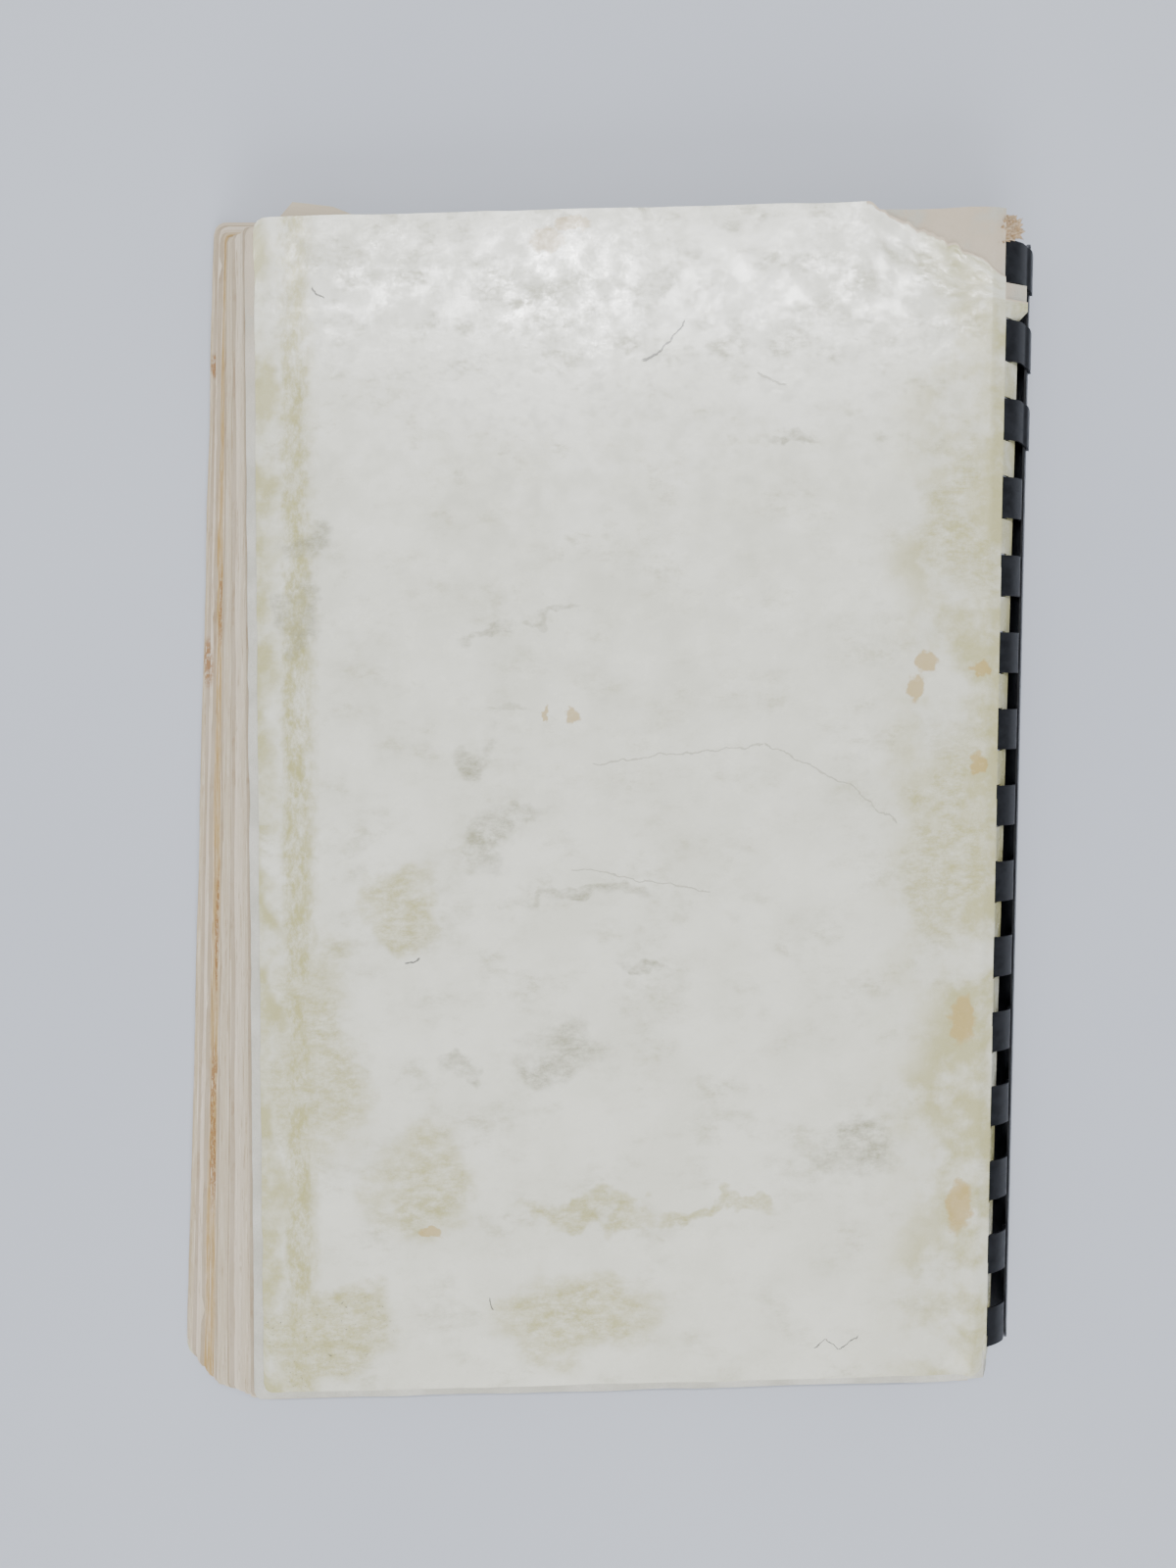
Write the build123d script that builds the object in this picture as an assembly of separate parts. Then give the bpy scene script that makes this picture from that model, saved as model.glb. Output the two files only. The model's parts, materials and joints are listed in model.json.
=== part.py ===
from build123d import *
from math import asin, atan2, cos, degrees, radians, sin, sqrt, tan
import os

# A plastic-comb-bound book, closed, lying on its front cover with the back cover up.
# +X points towards the comb, +Y towards the head of the book, +Z up out of the back cover.
# Everything is drawn about the comb's own axis with the leaves level, and settle() then tips
# the whole book until the fore edge of the front cover and the rings of the comb both rest on Z = 0.

# ---- driving dimensions, mm ----
leaf_height = 219.0  # head to tail
leaf_width = 143.0  # fore edge to binding edge
leaf_thickness = 0.115
leaf_pitch = 0.135  # leaf to leaf, with the air that worn leaves hold
leaves_per_section = 4
section_count = 24
flyleaf_thickness = 0.2
cover_thickness = 0.3
trim_slope = 0.031  # the head and tail were trimmed out of square: they sink towards the fore edge
corner_cut = 1.5  # worn leaf corners
cover_corner_cut = 3.0

slot_count = 15
slot_pitch = 14.2875  # nine sixteenths of an inch
slot_height = 8.0
slot_depth = 3.0
slot_margin = 3.0  # from the slots to the binding edge

comb_outer_radius = 11.0  # a seven-eighths inch comb
comb_thickness = 0.45
finger_width = 7.5
backbone_length = 211.0
backbone_half_angle = 28.0  # the backbone is centred on +X
finger_bend_angle = 36.0  # where a finger leaves the circle to meet the backbone
finger_end_angle = 14.0  # the free end of a finger
finger_step = 0.5  # from the circle to beside the backbone
sprung_fingers = 3  # fingers at the head whose free ends lie outside the backbone

top_leaf_level = 10.25  # the highest level leaf above the comb's axis
finger_clearance = 0.15  # under the sheets that pass over the fingers
crease_reach = 3.9  # from the comb's axis to the crease of the back cover
drape_slope = 0.25  # the back cover sinks a little towards the fore edge
shoulder_slope = 18.0  # and bends down over the fingers before its crease
strip_slope = 55.0  # the slope of its binding edge beyond the crease
sheet_gap = 0.05
crease_gap = 0.4  # between a cover's panel and its binding edge, across the crease
torn_head = 24.0  # the torn corner of the back cover, along the head
torn_spine = 13.0  # and along the crease

# ---- derived dimensions ----
comb_radius = comb_outer_radius - comb_thickness / 2
comb_inner_radius = comb_outer_radius - comb_thickness
strip_width = slot_depth + slot_margin
panel_width = leaf_width - strip_width
leaf_count = leaves_per_section * section_count
bottom_leaf_level = top_leaf_level - (leaf_count - 1) * leaf_pitch
front_level = bottom_leaf_level - (leaf_thickness + cover_thickness) / 2 - sheet_gap
flyleaf_depth = (cover_thickness + flyleaf_thickness) / 2 + sheet_gap
cover_level = comb_outer_radius + finger_clearance + flyleaf_thickness / 2 + flyleaf_depth
half_height = leaf_height / 2
slot_centres = [(i - (slot_count - 1) / 2) * slot_pitch for i in range(slot_count)]


def slot_line(level):
    """X of the slot centres of a level sheet, which lie on the comb's circle."""
    return -sqrt(comb_radius**2 - level**2)


front_crease = slot_line(front_level) - slot_depth / 2
foot_x = front_crease - panel_width
foot_z = front_level - cover_thickness / 2
foot_distance = sqrt(foot_x**2 + foot_z**2)
foot_angle = degrees(atan2(-foot_z, -foot_x))
tip_angle = degrees(asin(comb_outer_radius / foot_distance)) - foot_angle


def settle(shape):
    """Tip the book onto its fore edge and its comb, and lift it to stand on Z = 0."""
    return Pos(0, 0, comb_outer_radius) * Rot(0, -tip_angle, 0) * shape


def out_of_square(points):
    """A closed outline in plan, sheared as the book was trimmed. Repeated points are dropped."""
    return Polyline(*dict.fromkeys((x, y + trim_slope * x) for x, y in points), close=True)


def sheet_outline(x_fore, x_binding, cut):
    """From the fore edge to the binding edge, with the fore corners cut off."""
    return out_of_square(
        [
            (x_binding, -half_height),
            (x_binding, half_height),
            (x_fore + cut, half_height),
            (x_fore, half_height - cut),
            (x_fore, cut - half_height),
            (x_fore + cut, -half_height),
        ]
    )


def slots(x_from, x_to):
    """The row of punched slots, as flat rectangles."""
    middle = (x_from + x_to) / 2
    return [Pos(middle, y) * Rectangle(x_to - x_from, slot_height) for y in slot_centres]


def slab(outline, level, thickness, holes=()):
    """A flat sheet with its middle at a level."""
    sketch = make_face(outline)
    for hole in holes:
        sketch -= hole
    return Pos(0, 0, level - thickness / 2) * extrude(sketch, thickness, dir=(0, 0, 1))


def leaf(level):
    crease = slot_line(level) - slot_depth / 2
    outline = sheet_outline(crease - panel_width, crease + strip_width, corner_cut)
    return slab(outline, level, leaf_thickness, slots(crease, crease + slot_depth))


def section(number):
    """Four neighbouring leaves, counted from the front cover."""
    first = (number - 1) * leaves_per_section
    levels = [bottom_leaf_level + (first + i) * leaf_pitch for i in range(leaves_per_section)]
    return Compound(children=[leaf(level) for level in levels])


def front_binding_edge():
    """The cover's strip beyond the crease, whose tabs pass between the fingers of the comb."""
    x_from, x_to = front_crease + crease_gap / 2, front_crease + strip_width
    outline = sheet_outline(x_from, x_to, 0)
    holes = slots(front_crease, front_crease + slot_depth)
    return slab(outline, front_level, cover_thickness, holes)


def front_cover():
    outline = sheet_outline(foot_x, front_crease - crease_gap / 2, cover_corner_cut)
    return slab(outline, front_level, cover_thickness)


def falling(start, length, slope):
    """The end of a straight stretch that falls towards +X, in the plane across the comb."""
    return (
        start[0] + length * cos(radians(slope)),
        start[1] - length * sin(radians(slope)),
    )


shoulder_top = (cover_level * tan(radians(shoulder_slope / 2)), cover_level)
shoulder_length = (crease_reach - shoulder_top[0]) / cos(radians(shoulder_slope))
back_crease = falling(shoulder_top, shoulder_length, shoulder_slope)
back_fore = falling(shoulder_top, shoulder_length - panel_width, -drape_slope)
back_binding = falling(back_crease, strip_width, strip_slope)


def beside(path, distance):
    """The path moved sideways by a distance, upwards if it is positive, with mitred bends."""
    steps = [Vector(*b) - Vector(*a) for a, b in zip(path, path[1:])]
    normals = [Vector(-step.Y, step.X).normalized() for step in steps]
    normals = [normals[0], *normals, normals[-1]]
    return [
        Vector(*point) + (m + n) * (distance / (1 + m.dot(n)))
        for point, m, n in zip(path, normals, normals[1:])
    ]


def bent_sheet(path, thickness, outline):
    """A sheet that follows a path in the plane across the comb, cut to an outline in plan."""
    upper = beside(path, thickness / 2)
    lower = beside(path, -thickness / 2)
    profile = Polyline(*[(p.X, p.Y) for p in upper + lower[::-1]], close=True)
    sheet = extrude(Plane.XZ * make_face(profile), leaf_height, both=True)
    return sheet & extrude(make_face(outline), 2 * comb_outer_radius, both=True)


def punched(sheet, crease):
    """The sheet with slots along its sloping strip, from the crease outwards."""
    for y in slot_centres:
        hole = Pos(slot_depth / 2, y, 0) * Box(slot_depth, slot_height, 3 * cover_thickness)
        sheet -= Pos(crease[0], 0, crease[1]) * Rot(0, strip_slope, 0) * hole
    return sheet


def back_cover():
    """The panel of the back cover, with its head corner torn off beside the comb."""
    inner = falling(back_crease, -crease_gap / 2, shoulder_slope)
    x_inner, x_fore, cut = back_crease[0], back_fore[0], cover_corner_cut
    outline = out_of_square(
        [
            (x_inner, cut - half_height),
            (x_inner, half_height - torn_spine),
            (x_inner - torn_head, half_height),
            (x_fore + cut, half_height),
            (x_fore, half_height - cut),
            (x_fore, cut - half_height),
            (x_fore + cut, -half_height),
            (x_inner - cut, -half_height),
        ]
    )
    return bent_sheet([back_fore, shoulder_top, inner], cover_thickness, outline)


def back_binding_edge():
    """It is torn away beyond its first slot at the head."""
    start = falling(back_crease, crease_gap / 2, strip_slope)
    outline = sheet_outline(0, comb_outer_radius, 0)
    strip = punched(bent_sheet([start, back_binding], cover_thickness, outline), back_crease)
    torn = Pos(0, slot_centres[-1] + leaf_height - slot_height / 2, 0)
    return strip - torn * Box(4 * comb_outer_radius, 2 * leaf_height, 4 * comb_outer_radius)


def back_flyleaf():
    """The last sheet of the book, creased under the back cover and parallel to it."""
    path = beside([back_fore, shoulder_top, back_crease, back_binding], -flyleaf_depth)
    path = [(point.X, point.Y) for point in path]
    outline = sheet_outline(back_fore[0], comb_outer_radius, corner_cut)
    return punched(bent_sheet(path, flyleaf_thickness, outline), path[2])


def on_circle(radius, angle):
    return radius * cos(radians(angle)), radius * sin(radians(angle))


def arc(radius, start, end):
    """Part of a circle about the comb's axis, between two angles counted from +X."""
    return ThreePointArc(
        on_circle(radius, start), on_circle(radius, (start + end) / 2), on_circle(radius, end)
    )


def comb_finger(y, step):
    """A curled finger: it starts at the backbone's lower edge and ends beside its upper edge."""
    root = 360 - backbone_half_angle
    inner, outer = comb_inner_radius, comb_outer_radius
    outline = [
        arc(outer, root, finger_bend_angle),
        Line(
            on_circle(outer, finger_bend_angle), on_circle(outer + step, backbone_half_angle)
        ),
        arc(outer + step, backbone_half_angle, finger_end_angle),
        Line(
            on_circle(outer + step, finger_end_angle), on_circle(inner + step, finger_end_angle)
        ),
        arc(inner + step, finger_end_angle, backbone_half_angle),
        Line(
            on_circle(inner + step, backbone_half_angle), on_circle(inner, finger_bend_angle)
        ),
        arc(inner, finger_bend_angle, root),
        Line(on_circle(inner, root), on_circle(outer, root)),
    ]
    finger = extrude(Plane.XZ * make_face(Wire(outline)), finger_width / 2, both=True)
    return Pos(0, y, 0) * finger


def comb_fingers(centres, step):
    return Compound(children=[comb_finger(y, step) for y in centres])


def comb_backbone():
    """The strip that joins the fingers, with rounded ends."""
    low, high = -backbone_half_angle, backbone_half_angle
    inner, outer = comb_inner_radius, comb_outer_radius
    outline = [
        arc(outer, low, high),
        Line(on_circle(outer, high), on_circle(inner, high)),
        arc(inner, high, low),
        Line(on_circle(inner, low), on_circle(outer, low)),
    ]
    strip = extrude(Plane.XZ * make_face(Wire(outline)), backbone_length / 2, both=True)
    width = 2 * outer * sin(radians(backbone_half_angle))
    tongue = SlotOverall(backbone_length, width, rotation=90)
    return strip & extrude(Plane.YZ * Rot(0, 0, 90) * tongue, 2 * outer, both=True)


nodes = {
    "front_cover": front_cover(),
    "front_cover_binding_edge": front_binding_edge(),
    "back_flyleaf": back_flyleaf(),
    "back_cover": back_cover(),
    "back_cover_binding_edge": back_binding_edge(),
    "comb_backbone": comb_backbone(),
    "comb_fingers_tucked": comb_fingers(slot_centres[:-sprung_fingers], -finger_step),
    "comb_fingers_sprung": comb_fingers(slot_centres[-sprung_fingers:], finger_step),
}
for number in range(1, section_count + 1):
    nodes[f"leaves_{number:02d}"] = section(number)
nodes = {name: settle(shape) for name, shape in nodes.items()}

# The origin lies below the middle of the whole book's box.
boxes = [shape.bounding_box() for shape in nodes.values()]
middle_x = (min(box.min.X for box in boxes) + max(box.max.X for box in boxes)) / 2
middle_y = (min(box.min.Y for box in boxes) + max(box.max.Y for box in boxes)) / 2

os.makedirs("parts", exist_ok=True)
for name, shape in nodes.items():
    export_step(Pos(-middle_x, -middle_y, 0) * shape, f"parts/{name}.step")
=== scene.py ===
import bpy
import json
import numpy as np
from math import cos, radians, sin, sqrt, tan
from mathutils import Matrix, Vector


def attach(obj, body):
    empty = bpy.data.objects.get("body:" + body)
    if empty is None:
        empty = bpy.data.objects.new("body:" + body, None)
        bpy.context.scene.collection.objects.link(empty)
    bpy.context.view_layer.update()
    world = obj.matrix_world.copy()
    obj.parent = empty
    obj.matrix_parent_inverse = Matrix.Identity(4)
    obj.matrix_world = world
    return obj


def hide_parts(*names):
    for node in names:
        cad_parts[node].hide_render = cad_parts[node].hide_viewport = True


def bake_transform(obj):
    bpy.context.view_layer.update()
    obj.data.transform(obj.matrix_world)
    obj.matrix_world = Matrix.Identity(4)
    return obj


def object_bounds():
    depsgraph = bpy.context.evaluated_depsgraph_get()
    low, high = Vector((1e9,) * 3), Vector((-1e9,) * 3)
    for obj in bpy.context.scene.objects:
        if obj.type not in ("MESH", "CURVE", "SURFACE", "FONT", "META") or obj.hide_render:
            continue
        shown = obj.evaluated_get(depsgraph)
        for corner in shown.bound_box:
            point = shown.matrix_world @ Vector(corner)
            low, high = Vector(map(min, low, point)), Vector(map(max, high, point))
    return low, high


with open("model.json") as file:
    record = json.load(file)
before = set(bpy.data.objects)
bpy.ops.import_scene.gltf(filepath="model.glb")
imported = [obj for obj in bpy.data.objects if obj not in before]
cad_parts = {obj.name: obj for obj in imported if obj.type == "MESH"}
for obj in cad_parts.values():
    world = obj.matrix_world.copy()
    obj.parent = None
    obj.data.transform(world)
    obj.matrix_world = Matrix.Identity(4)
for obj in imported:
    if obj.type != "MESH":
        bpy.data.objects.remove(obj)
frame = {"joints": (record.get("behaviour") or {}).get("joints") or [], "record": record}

cad_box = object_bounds()
rng = np.random.default_rng(24)
MM = 0.001

# The book is drawn in millimetres about the comb's own axis with the leaves level: u towards
# the comb, y towards the head, w up out of the back cover. These repeat the CAD's sizes.
LEAF_HEIGHT = 219.0
HALF_HEIGHT = LEAF_HEIGHT / 2
PANEL_WIDTH = 137.0
STRIP_WIDTH = 6.0
LEAF_THICKNESS = 0.115
LEAF_PITCH = 0.135
LEAVES_PER_SECTION = 4
SECTIONS = 24
LEAVES = LEAVES_PER_SECTION * SECTIONS
BOTTOM_LEAF_LEVEL = -2.575
FRONT_LEVEL = -2.8325
COVER_THICKNESS = 0.3
FLYLEAF_THICKNESS = 0.2
FLYLEAF_DEPTH = 0.3
COVER_FORE = (-133.0, 10.96)  # u and w of the back cover's fore edge
SHOULDER = 134.83  # along the back cover from its fore edge to its shoulder
SHOULDER_SLOPE = 18.0
DRAPE_SLOPE = 0.25
SLOTS = 15
SLOT_PITCH = 14.2875
SLOT_HEIGHT = 8.0
SLOT_DEPTH = 3.0
FINGER_RADIUS = 10.775
OUTER_RADIUS = 11.0
COMB_THICKNESS = 0.45
FINGER_WIDTH = 7.5
BACKBONE_LENGTH = 211.0
BACKBONE_ANGLE = 28.0
TUCKED_FINGERS = 12
TRIM_SLOPE = 0.031  # the head and tail were trimmed out of square

# What the visual model adds to the CAD's sizes, in mm, degrees and leaf numbers.
LEAN_AT_TAIL = 18.2  # from the back cover's fore edge to the lowest leaf's
LEAN_AT_HEAD = 10.5
TOP_LEAF_REACH = 1.0  # the same for the highest leaf
FLYLEAF_REACH = 1.8
LEAF_SLACK = 0.01  # a little more air between the leaves
LEAVES_SHORT = 0.5  # how far the leaves end towards the tail
COVER_SHIFT = 1.1  # how far the back cover's panel has slipped towards the head
TORN_LEAVES = range(19, 39)  # the leaves with torn fore edges
LOOSE_LEAF = 85
LOOSE_LEAF_RISE = 4.6
SHADED_LEDGE_LEAVES = (93, 88, 83, 62, 58, 40, 26, 20, 11, 4)  # leaves whose exposed fore-edge ledge gets a painted shade line, standing in for the shade at a step in the block
GROUP_STEPS = {  # leaf number: how far the leaves from it down step out at the fore edge
    88: 0.55,
    83: -0.3,
    62: 0.5,
    40: 0.45,
    37: -0.35,
    26: -0.35,
    20: 0.6,
    11: 0.5,
    4: -0.3,
}
CREASE = 137.0  # along the back cover from its fore edge to its crease
CREASE_WANDER = 0.6  # and how much further it lies at the tail
STRIP_SLOPES = ((-HALF_HEIGHT, 70.0), (-60.0, 67.0), (0.0, 61.0), (HALF_HEIGHT, 49.0))
TORN_TAB_SLOPE = 30.0
STRIP_TORN = 0.5  # off the free side of the back cover's binding edge
LAST_TAB = (89.7, 96.0)  # y of the last tab before the torn corner
TEAR_START = 111.5  # along the cover's head, where the torn corner starts
TEAR_DEPTH = 12.6
TEAR_STRIP_DEPTH = 13.5
TUCKED_STEP = -0.5  # from the circle to a free end inside the backbone
SPRUNG_STEP = 0.5
SPRUNG_SKEW = 1.3
FINGER_END = 14.0
FINGER_BEND = 36.0
EDGE_BEVEL = 0.09
SCRAP_THICKNESS = 0.16
FLOOR_HALF = 4.0  # m
LAMP_HEIGHT = 0.9  # m
LAMPS = 13
BRIGHT_LAMPS = (4, 5)

joints = {joint["name"]: joint for joint in frame["joints"]}
axis_x, axis_y, axis_z = joints["book_opening"]["pos_m"]
face = frame["record"]["mounts"][0]["axis"]
tip_sin, tip_cos = face[0], -face[2]
slot_centres = [(i - (SLOTS - 1) / 2) * SLOT_PITCH for i in range(SLOTS)]
slot_edges = sorted(y + side * SLOT_HEIGHT / 2 for y in slot_centres for side in (-1, 1))


def to_world(points):
    """Book coordinates in mm to the row frame in metres."""
    u, y, w = np.moveaxis(np.asarray(points, float), -1, 0)
    return np.stack(
        [
            axis_x + MM * (u * tip_cos - w * tip_sin),
            axis_y + MM * y,
            axis_z + MM * (u * tip_sin + w * tip_cos),
        ],
        axis=-1,
    )


def smooth(x, low, high):
    t = np.clip((np.asarray(x, float) - low) / (high - low), 0, 1)
    return t * t * (3 - 2 * t)


def wander(x, spacing, size, seed):
    """Smooth seeded noise along x, about as large as size."""
    draw = np.random.default_rng(seed)
    knots = np.arange(-260, 261) * spacing
    return np.interp(x, knots, draw.normal(0, size, len(knots)))


def slab(centre, keep, thickness, place):
    """A thin solid about a grid of points, without the cells that keep leaves out."""
    du = np.gradient(centre, axis=0)
    dy = np.gradient(centre, axis=1)
    normal = np.cross(du, dy)
    normal /= np.linalg.norm(normal, axis=-1, keepdims=True)
    half = normal * np.broadcast_to(np.asarray(thickness, float), centre.shape[:2])[..., None] / 2
    rows, columns = centre.shape[:2]
    count = rows * columns
    points = np.concatenate([(centre + half).reshape(-1, 3), (centre - half).reshape(-1, 3)])
    index = np.arange(count).reshape(rows, columns)
    corners = [index[:-1, :-1], index[1:, :-1], index[1:, 1:], index[:-1, 1:]]
    top = np.stack(corners, -1)[keep]
    faces = [top, top[:, ::-1] + count]
    padded = np.pad(keep, 1)
    beside = [padded[1:-1, :-2], padded[2:, 1:-1], padded[1:-1, 2:], padded[:-2, 1:-1]]
    for side, neighbour in enumerate(beside):
        open_side = keep & ~neighbour
        p, q = corners[side][open_side], corners[(side + 1) % 4][open_side]
        faces.append(np.stack([q, p, p + count, q + count], -1))
    faces = np.concatenate(faces)
    used, remapped = np.unique(faces, return_inverse=True)
    place = np.concatenate([place.reshape(-1, 3)] * 2)
    return points[used], remapped.reshape(-1, 4), place[used]


def piece(name, solids, material, sharp=40):
    """One object from solids given in book coordinates, with place stored on every point."""
    points, faces, places, start = [], [], [], 0
    for solid_points, solid_faces, solid_place in solids:
        points.append(solid_points)
        faces.append(solid_faces + start)
        places.append(solid_place)
        start += len(solid_points)
    mesh = bpy.data.meshes.new(name)
    mesh.from_pydata(to_world(np.concatenate(points)).tolist(), [], np.concatenate(faces).tolist())
    attribute = mesh.attributes.new("place", "FLOAT_VECTOR", "POINT")
    attribute.data.foreach_set("vector", np.concatenate(places).astype(np.float32).ravel())
    mesh.polygons.foreach_set("use_smooth", [True] * len(mesh.polygons))
    mesh.set_sharp_from_angle(angle=radians(sharp))
    mesh.materials.append(material)
    mesh.update()
    result = bpy.data.objects.new(name, mesh)
    bpy.context.scene.collection.objects.link(result)
    return result


def grid(u, y):
    return np.meshgrid(np.asarray(u, float), np.asarray(y, float), indexing="ij")


def between(values, steps):
    """The values with steps - 1 more spread between each two."""
    values = sorted(values)
    parts = [np.linspace(a, b, steps, endpoint=False) for a, b in zip(values, values[1:])]
    return np.concatenate(parts + [[values[-1]]])


def in_slots(y):
    """Whether each row of cells between the y values lies in a slot."""
    middle = (y[:-1] + y[1:]) / 2
    return np.any([np.abs(middle - centre) < SLOT_HEIGHT / 2 for centre in slot_centres], axis=0)


class Shader:
    """A procedural material, with short names for the nodes it is made of."""

    def __init__(self, name):
        self.material = bpy.data.materials.new(name)
        self.material.use_nodes = True
        self.nodes = self.material.node_tree.nodes
        self.links = self.material.node_tree.links
        self.surface = self.nodes["Principled BSDF"]
        attribute = self.nodes.new("ShaderNodeAttribute")
        attribute.attribute_name = "place"
        self.place = attribute.outputs["Vector"]
        parts = self.nodes.new("ShaderNodeSeparateXYZ")
        self.put(parts.inputs[0], self.place)
        self.x, self.y, self.z = parts.outputs

    def put(self, socket, value):
        if isinstance(value, bpy.types.NodeSocket):
            self.links.new(value, socket)
        elif isinstance(value, tuple) and len(value) == 3 and socket.type == "RGBA":
            socket.default_value = (*value, 1)
        else:
            socket.default_value = value

    def set(self, **values):
        for name, value in values.items():
            self.put(self.surface.inputs[name.replace("_", " ")], value)

    def math(self, operation, a, b=0.0, c=0.0, clamp=False):
        node = self.nodes.new("ShaderNodeMath")
        node.operation = operation
        node.use_clamp = clamp
        for socket, value in zip(node.inputs, (a, b, c)):
            self.put(socket, value)
        return node.outputs[0]

    def add(self, *terms):
        total = terms[0]
        for term in terms[1:]:
            total = self.math("ADD", total, term)
        return total

    def times(self, *factors):
        product = factors[0]
        for factor in factors[1:]:
            product = self.math("MULTIPLY", product, factor)
        return product

    def most(self, *values):
        largest = values[0]
        for value in values[1:]:
            largest = self.math("MAXIMUM", largest, value)
        return largest

    def fade(self, value, low, high, at_low=0.0, at_high=1.0):
        node = self.nodes.new("ShaderNodeMapRange")
        node.interpolation_type = "SMOOTHSTEP"
        for socket, number in zip(node.inputs, (value, low, high, at_low, at_high)):
            self.put(socket, number)
        return node.outputs[0]

    def stretched(self, scale):
        node = self.nodes.new("ShaderNodeVectorMath")
        node.operation = "MULTIPLY"
        self.put(node.inputs[0], self.place)
        node.inputs[1].default_value = scale
        return node.outputs[0]

    def noise(self, scale, detail=4.0, roughness=0.55, stretch=(1, 1, 1), distortion=0.0):
        """Noise whose features are about 1 / scale millimetres long."""
        node = self.nodes.new("ShaderNodeTexNoise")
        self.put(node.inputs["Vector"], self.stretched(stretch))
        node.inputs["Scale"].default_value = scale
        node.inputs["Detail"].default_value = detail
        node.inputs["Roughness"].default_value = roughness
        node.inputs["Distortion"].default_value = distortion
        return node.outputs["Fac"]

    def mix(self, factor, a, b):
        node = self.nodes.new("ShaderNodeMix")
        node.data_type = "RGBA"
        self.put(node.inputs[0], factor)
        self.put(node.inputs[6], a)
        self.put(node.inputs[7], b)
        return node.outputs[2]

    def ramp(self, value, stops):
        node = self.nodes.new("ShaderNodeValToRGB")
        elements = node.color_ramp.elements
        for _ in stops[2:]:
            elements.new(0.5)
        for element, (position, colour) in zip(elements, stops):
            element.position = position
            element.color = (*colour, 1)
        self.put(node.inputs[0], value)
        return node.outputs[0]

    def bump(self, *layers):
        """Layers of (height, distance in mm), one over the other."""
        below = None
        for height, distance in layers:
            node = self.nodes.new("ShaderNodeBump")
            node.inputs["Distance"].default_value = distance * MM
            self.put(node.inputs["Height"], height)
            if below:
                self.links.new(below, node.inputs["Normal"])
            below = node.outputs[0]
        self.links.new(below, self.surface.inputs["Normal"])

    def wobbly(self, amount, scale):
        """x and y of the place, pushed about by noise."""
        push_x = self.times(self.add(self.noise(scale), -0.5), amount)
        push_y = self.times(self.add(self.noise(scale, stretch=(1, -1, 1)), -0.5), amount)
        return self.add(self.x, push_x), self.add(self.y, push_y)

    def blot(self, at, centre, size, softness=0.5):
        """1 inside an ellipse with soft edges, 0 outside."""
        dx = self.math("DIVIDE", self.math("SUBTRACT", at[0], centre[0]), size[0])
        dy = self.math("DIVIDE", self.math("SUBTRACT", at[1], centre[1]), size[1])
        squared = self.add(self.times(dx, dx), self.times(dy, dy))
        return self.fade(squared, 1 - softness, 1 + softness, 1.0, 0.0)

    def stroke(self, at, start, end, width):
        """1 along a straight stroke."""
        length = sqrt((end[0] - start[0]) ** 2 + (end[1] - start[1]) ** 2)
        along = ((end[0] - start[0]) / length, (end[1] - start[1]) / length)
        dx = self.math("SUBTRACT", at[0], start[0])
        dy = self.math("SUBTRACT", at[1], start[1])
        t = self.add(self.times(dx, along[0]), self.times(dy, along[1]))
        n = self.add(self.times(dx, -along[1]), self.times(dy, along[0]))
        across = self.fade(self.math("ABSOLUTE", n), width / 2, width, 1.0, 0.0)
        begin = self.fade(t, 0.0, width * 2)
        finish = self.fade(t, length - width * 2, length, 1.0, 0.0)
        return self.times(across, begin, finish)


# ---- materials; lengths in them are millimetres along the sheet and from head to tail ----

CARD_DULL, CARD_BRIGHT, CARD_TAIL = (0.71, 0.71, 0.60), (0.82, 0.82, 0.72), (0.68, 0.67, 0.55)
GRIME, YELLOWED, FOXED = (0.36, 0.35, 0.20), (0.37, 0.34, 0.09), (0.46, 0.31, 0.08)
SMUDGED, SPECKLED, SCRATCHED = (0.22, 0.21, 0.11), (0.24, 0.22, 0.12), (0.36, 0.34, 0.26)
INK, PITTED = (0.06, 0.06, 0.055), (0.10, 0.09, 0.06)
CORE_DARK, CORE_PALE = (0.50, 0.40, 0.28), (0.68, 0.58, 0.45)
PAPER_PALE, PAPER_DULL, PAPER_BROWN = (0.74, 0.67, 0.56), (0.32, 0.22, 0.12), (0.27, 0.13, 0.04)
# The first of these is a painted shade colour, for the dark lines at the steps in the leaf block.
LEDGE_SHADE, PAGE_DARK, PAGE_PALE = (0.26, 0.19, 0.12), (0.70, 0.64, 0.52), (0.77, 0.72, 0.61)
FLYLEAF_DARK, FLYLEAF_PALE = (0.50, 0.49, 0.42), (0.62, 0.61, 0.55)
FELT, FLYLEAF_TAN = (0.44, 0.41, 0.34), (0.55, 0.43, 0.30)
FIBRE_DARK, FIBRE_PALE = (0.40, 0.26, 0.13), (0.74, 0.60, 0.43)
PLASTIC_DARK, PLASTIC_HAZY = (0.004, 0.0045, 0.006), (0.010, 0.011, 0.014)
SCUFFED, DUSTY = (0.05, 0.05, 0.056), (0.14, 0.13, 0.12)
FLOOR_DARK, FLOOR_PALE = (0.50, 0.53, 0.60), (0.525, 0.555, 0.625)

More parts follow.
